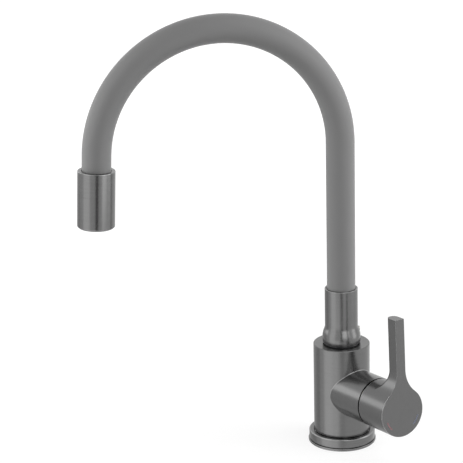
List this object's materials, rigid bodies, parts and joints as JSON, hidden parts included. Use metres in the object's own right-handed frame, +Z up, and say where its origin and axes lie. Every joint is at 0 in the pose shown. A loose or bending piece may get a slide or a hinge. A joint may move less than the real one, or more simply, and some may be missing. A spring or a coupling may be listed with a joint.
{
  "type": "kitchen mixer tap",
  "caption": "Kitchen mixer tap: a round upright body, a side lever on a short branch, and a swivelling, arched, flexible spout with a round outlet head.",
  "frame": {"origin": "centre of the base ring's underside, on the worktop", "axes": "+Z up; +X along the branch, towards the lever; -Y is the front, where the spout points when it is turned by 20 degrees from its stored place"},
  "size_m": [0.161, 0.2232, 0.3548],
  "materials": {
    "gunmetal": "brushed gunmetal coating on brass",
    "lever_gunmetal": "brushed gunmetal coating on brass",
    "silicone": "matt silicone",
    "seal_rubber": "matt black rubber",
    "machined_brass": "machined",
    "steel": "turned stainless steel",
    "ceramic": "lapped ceramic",
    "acetal_white": "moulded acetal",
    "acetal_grey": "moulded acetal",
    "tube_plastic": "extruded polyethylene",
    "hot_enamel": "red enamel",
    "cold_enamel": "blue enamel"
  },
  "bodies": {
    "tap_body": {"base_ring": "gunmetal", "worktop_seal": "seal_rubber", "body_casting": "gunmetal", "swivel_spigot": "machined_brass", "glide_ring": "acetal_grey", "spigot_oring_low": "seal_rubber", "spigot_oring_high": "seal_rubber", "cartridge_base": "acetal_white", "port_seal_hot": "seal_rubber", "port_seal_cold": "seal_rubber", "port_seal_mixed": "seal_rubber", "fixed_disc": "ceramic", "cartridge_housing": "acetal_white", "retaining_nut": "machined_brass"},
    "turret": {"carrier": "acetal_white", "stem_pin": "steel"},
    "lever": {"lever": "lever_gunmetal", "stem": "steel", "lever_screw": "steel", "screw_plug": "acetal_grey", "hot_mark": "hot_enamel", "cold_mark": "cold_enamel"},
    "mixing_disc": {"moving_disc": "ceramic", "disc_driver": "acetal_grey"},
    "spout_foot": {"spout_collar": "gunmetal", "collar_screw": "steel", "ferrule_lower": "machined_brass", "sleeve_1": "silicone", "gooseneck_1": "steel", "water_tube_1": "tube_plastic"},
    "hose_2": {"sleeve_2": "silicone", "gooseneck_2": "steel", "water_tube_2": "tube_plastic"},
    "hose_3": {"sleeve_3": "silicone", "gooseneck_3": "steel", "water_tube_3": "tube_plastic"},
    "hose_4": {"sleeve_4": "silicone", "gooseneck_4": "steel", "water_tube_4": "tube_plastic"},
    "hose_5": {"sleeve_5": "silicone", "gooseneck_5": "steel", "water_tube_5": "tube_plastic"},
    "spout_head": {"sleeve_6": "silicone", "gooseneck_6": "steel", "water_tube_6": "tube_plastic", "ferrule_upper": "machined_brass", "head_shell": "gunmetal", "aerator_seal_ring": "seal_rubber", "aerator_ring": "gunmetal", "aerator_insert": "acetal_white", "aerator_mesh": "steel"}
  },
  "joints": [
    {"name": "lever_turn", "type": "hinge", "parent": "tap_body", "child": "turret", "pos_m": [0.02996, 0, 0.04657], "axis": [0.9986, 0, 0.0523], "range_deg": [-45, 45]},
    {"name": "lever_tilt", "type": "hinge", "parent": "turret", "child": "lever", "pos_m": [0.06331, 0, 0.04832], "axis": [0, 1, 0], "range_deg": [0, 20]},
    {"name": "disc_slide", "type": "slide", "parent": "turret", "child": "mixing_disc", "axis": [-0.0523, 0, 0.9986], "range_m": [0, 0.00718]},
    {"name": "spout_swivel", "type": "hinge", "parent": "tap_body", "child": "spout_foot", "pos_m": [0, 0, 0.0845], "axis": [0, 0, 1], "continuous": true},
    {"name": "bend_1", "type": "hinge", "parent": "spout_foot", "child": "hose_2", "pos_m": [0, 0, 0.1722], "axis": [0.9397, -0.342, 0], "range_deg": [-15, 15]},
    {"name": "bend_2", "type": "hinge", "parent": "hose_2", "child": "hose_3", "pos_m": [0, 0, 0.2222], "axis": [-0.342, -0.9397, 0], "range_deg": [-15, 15]},
    {"name": "bend_3", "type": "hinge", "parent": "hose_3", "child": "hose_4", "pos_m": [-0.00763, -0.02095, 0.30946], "axis": [0.9397, -0.342, 0], "range_deg": [-15, 15]},
    {"name": "bend_4", "type": "hinge", "parent": "hose_4", "child": "hose_5", "pos_m": [-0.03259, -0.08955, 0.3435], "axis": [0, 0, 1], "range_deg": [-15, 15]},
    {"name": "bend_5", "type": "hinge", "parent": "hose_5", "child": "spout_head", "pos_m": [-0.05756, -0.15815, 0.30946], "axis": [0.9397, -0.342, 0], "range_deg": [-15, 15]}
  ],
  "couplings": [
    {"joint": "disc_slide", "follows": "lever_tilt", "m_per_rad": 0.020576}
  ]
}
